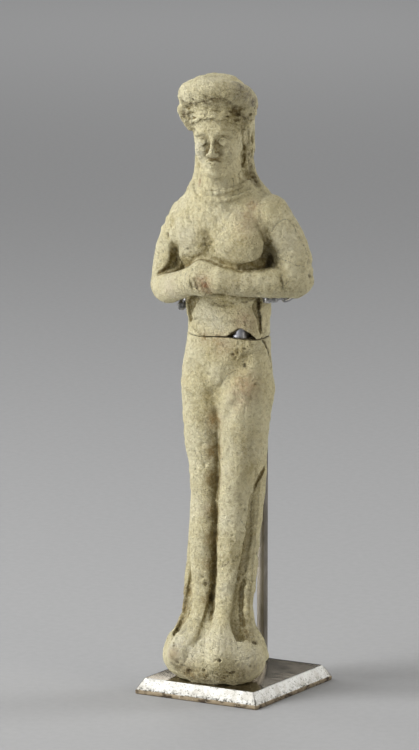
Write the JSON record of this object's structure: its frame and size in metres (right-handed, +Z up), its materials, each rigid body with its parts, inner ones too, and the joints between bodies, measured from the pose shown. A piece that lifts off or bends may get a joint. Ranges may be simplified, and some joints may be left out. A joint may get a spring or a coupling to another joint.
{
  "type": "standing female statuette on a display stand",
  "caption": "Fired clay figure of a standing woman, broken at the waist and pinned, held by a post with wire prongs on a bevelled metal plate.",
  "frame": {"origin": "centre of the base plate's underside", "axes": "+Z up along the figure, -Y the way the figure faces, +X to the viewer's right"},
  "size_m": [0.0645, 0.0559, 0.2218],
  "materials": {
    "clay": "unglazed, pitted and matt, with stains and dirt in the hollows",
    "pin_steel": "drawn",
    "plate_steel": "satin top, ground and speckled bevel",
    "post_steel": "satin",
    "sleeve": "soft, slightly cloudy"
  },
  "bodies": {
    "root": {"statuette_upper": "clay", "statuette_lower": "clay", "joining_pin": "pin_steel", "base_plate": "plate_steel", "post": "post_steel", "left_prong": "post_steel", "right_prong": "post_steel", "left_sleeve": "sleeve", "right_sleeve": "sleeve"}
  },
  "joints": []
}
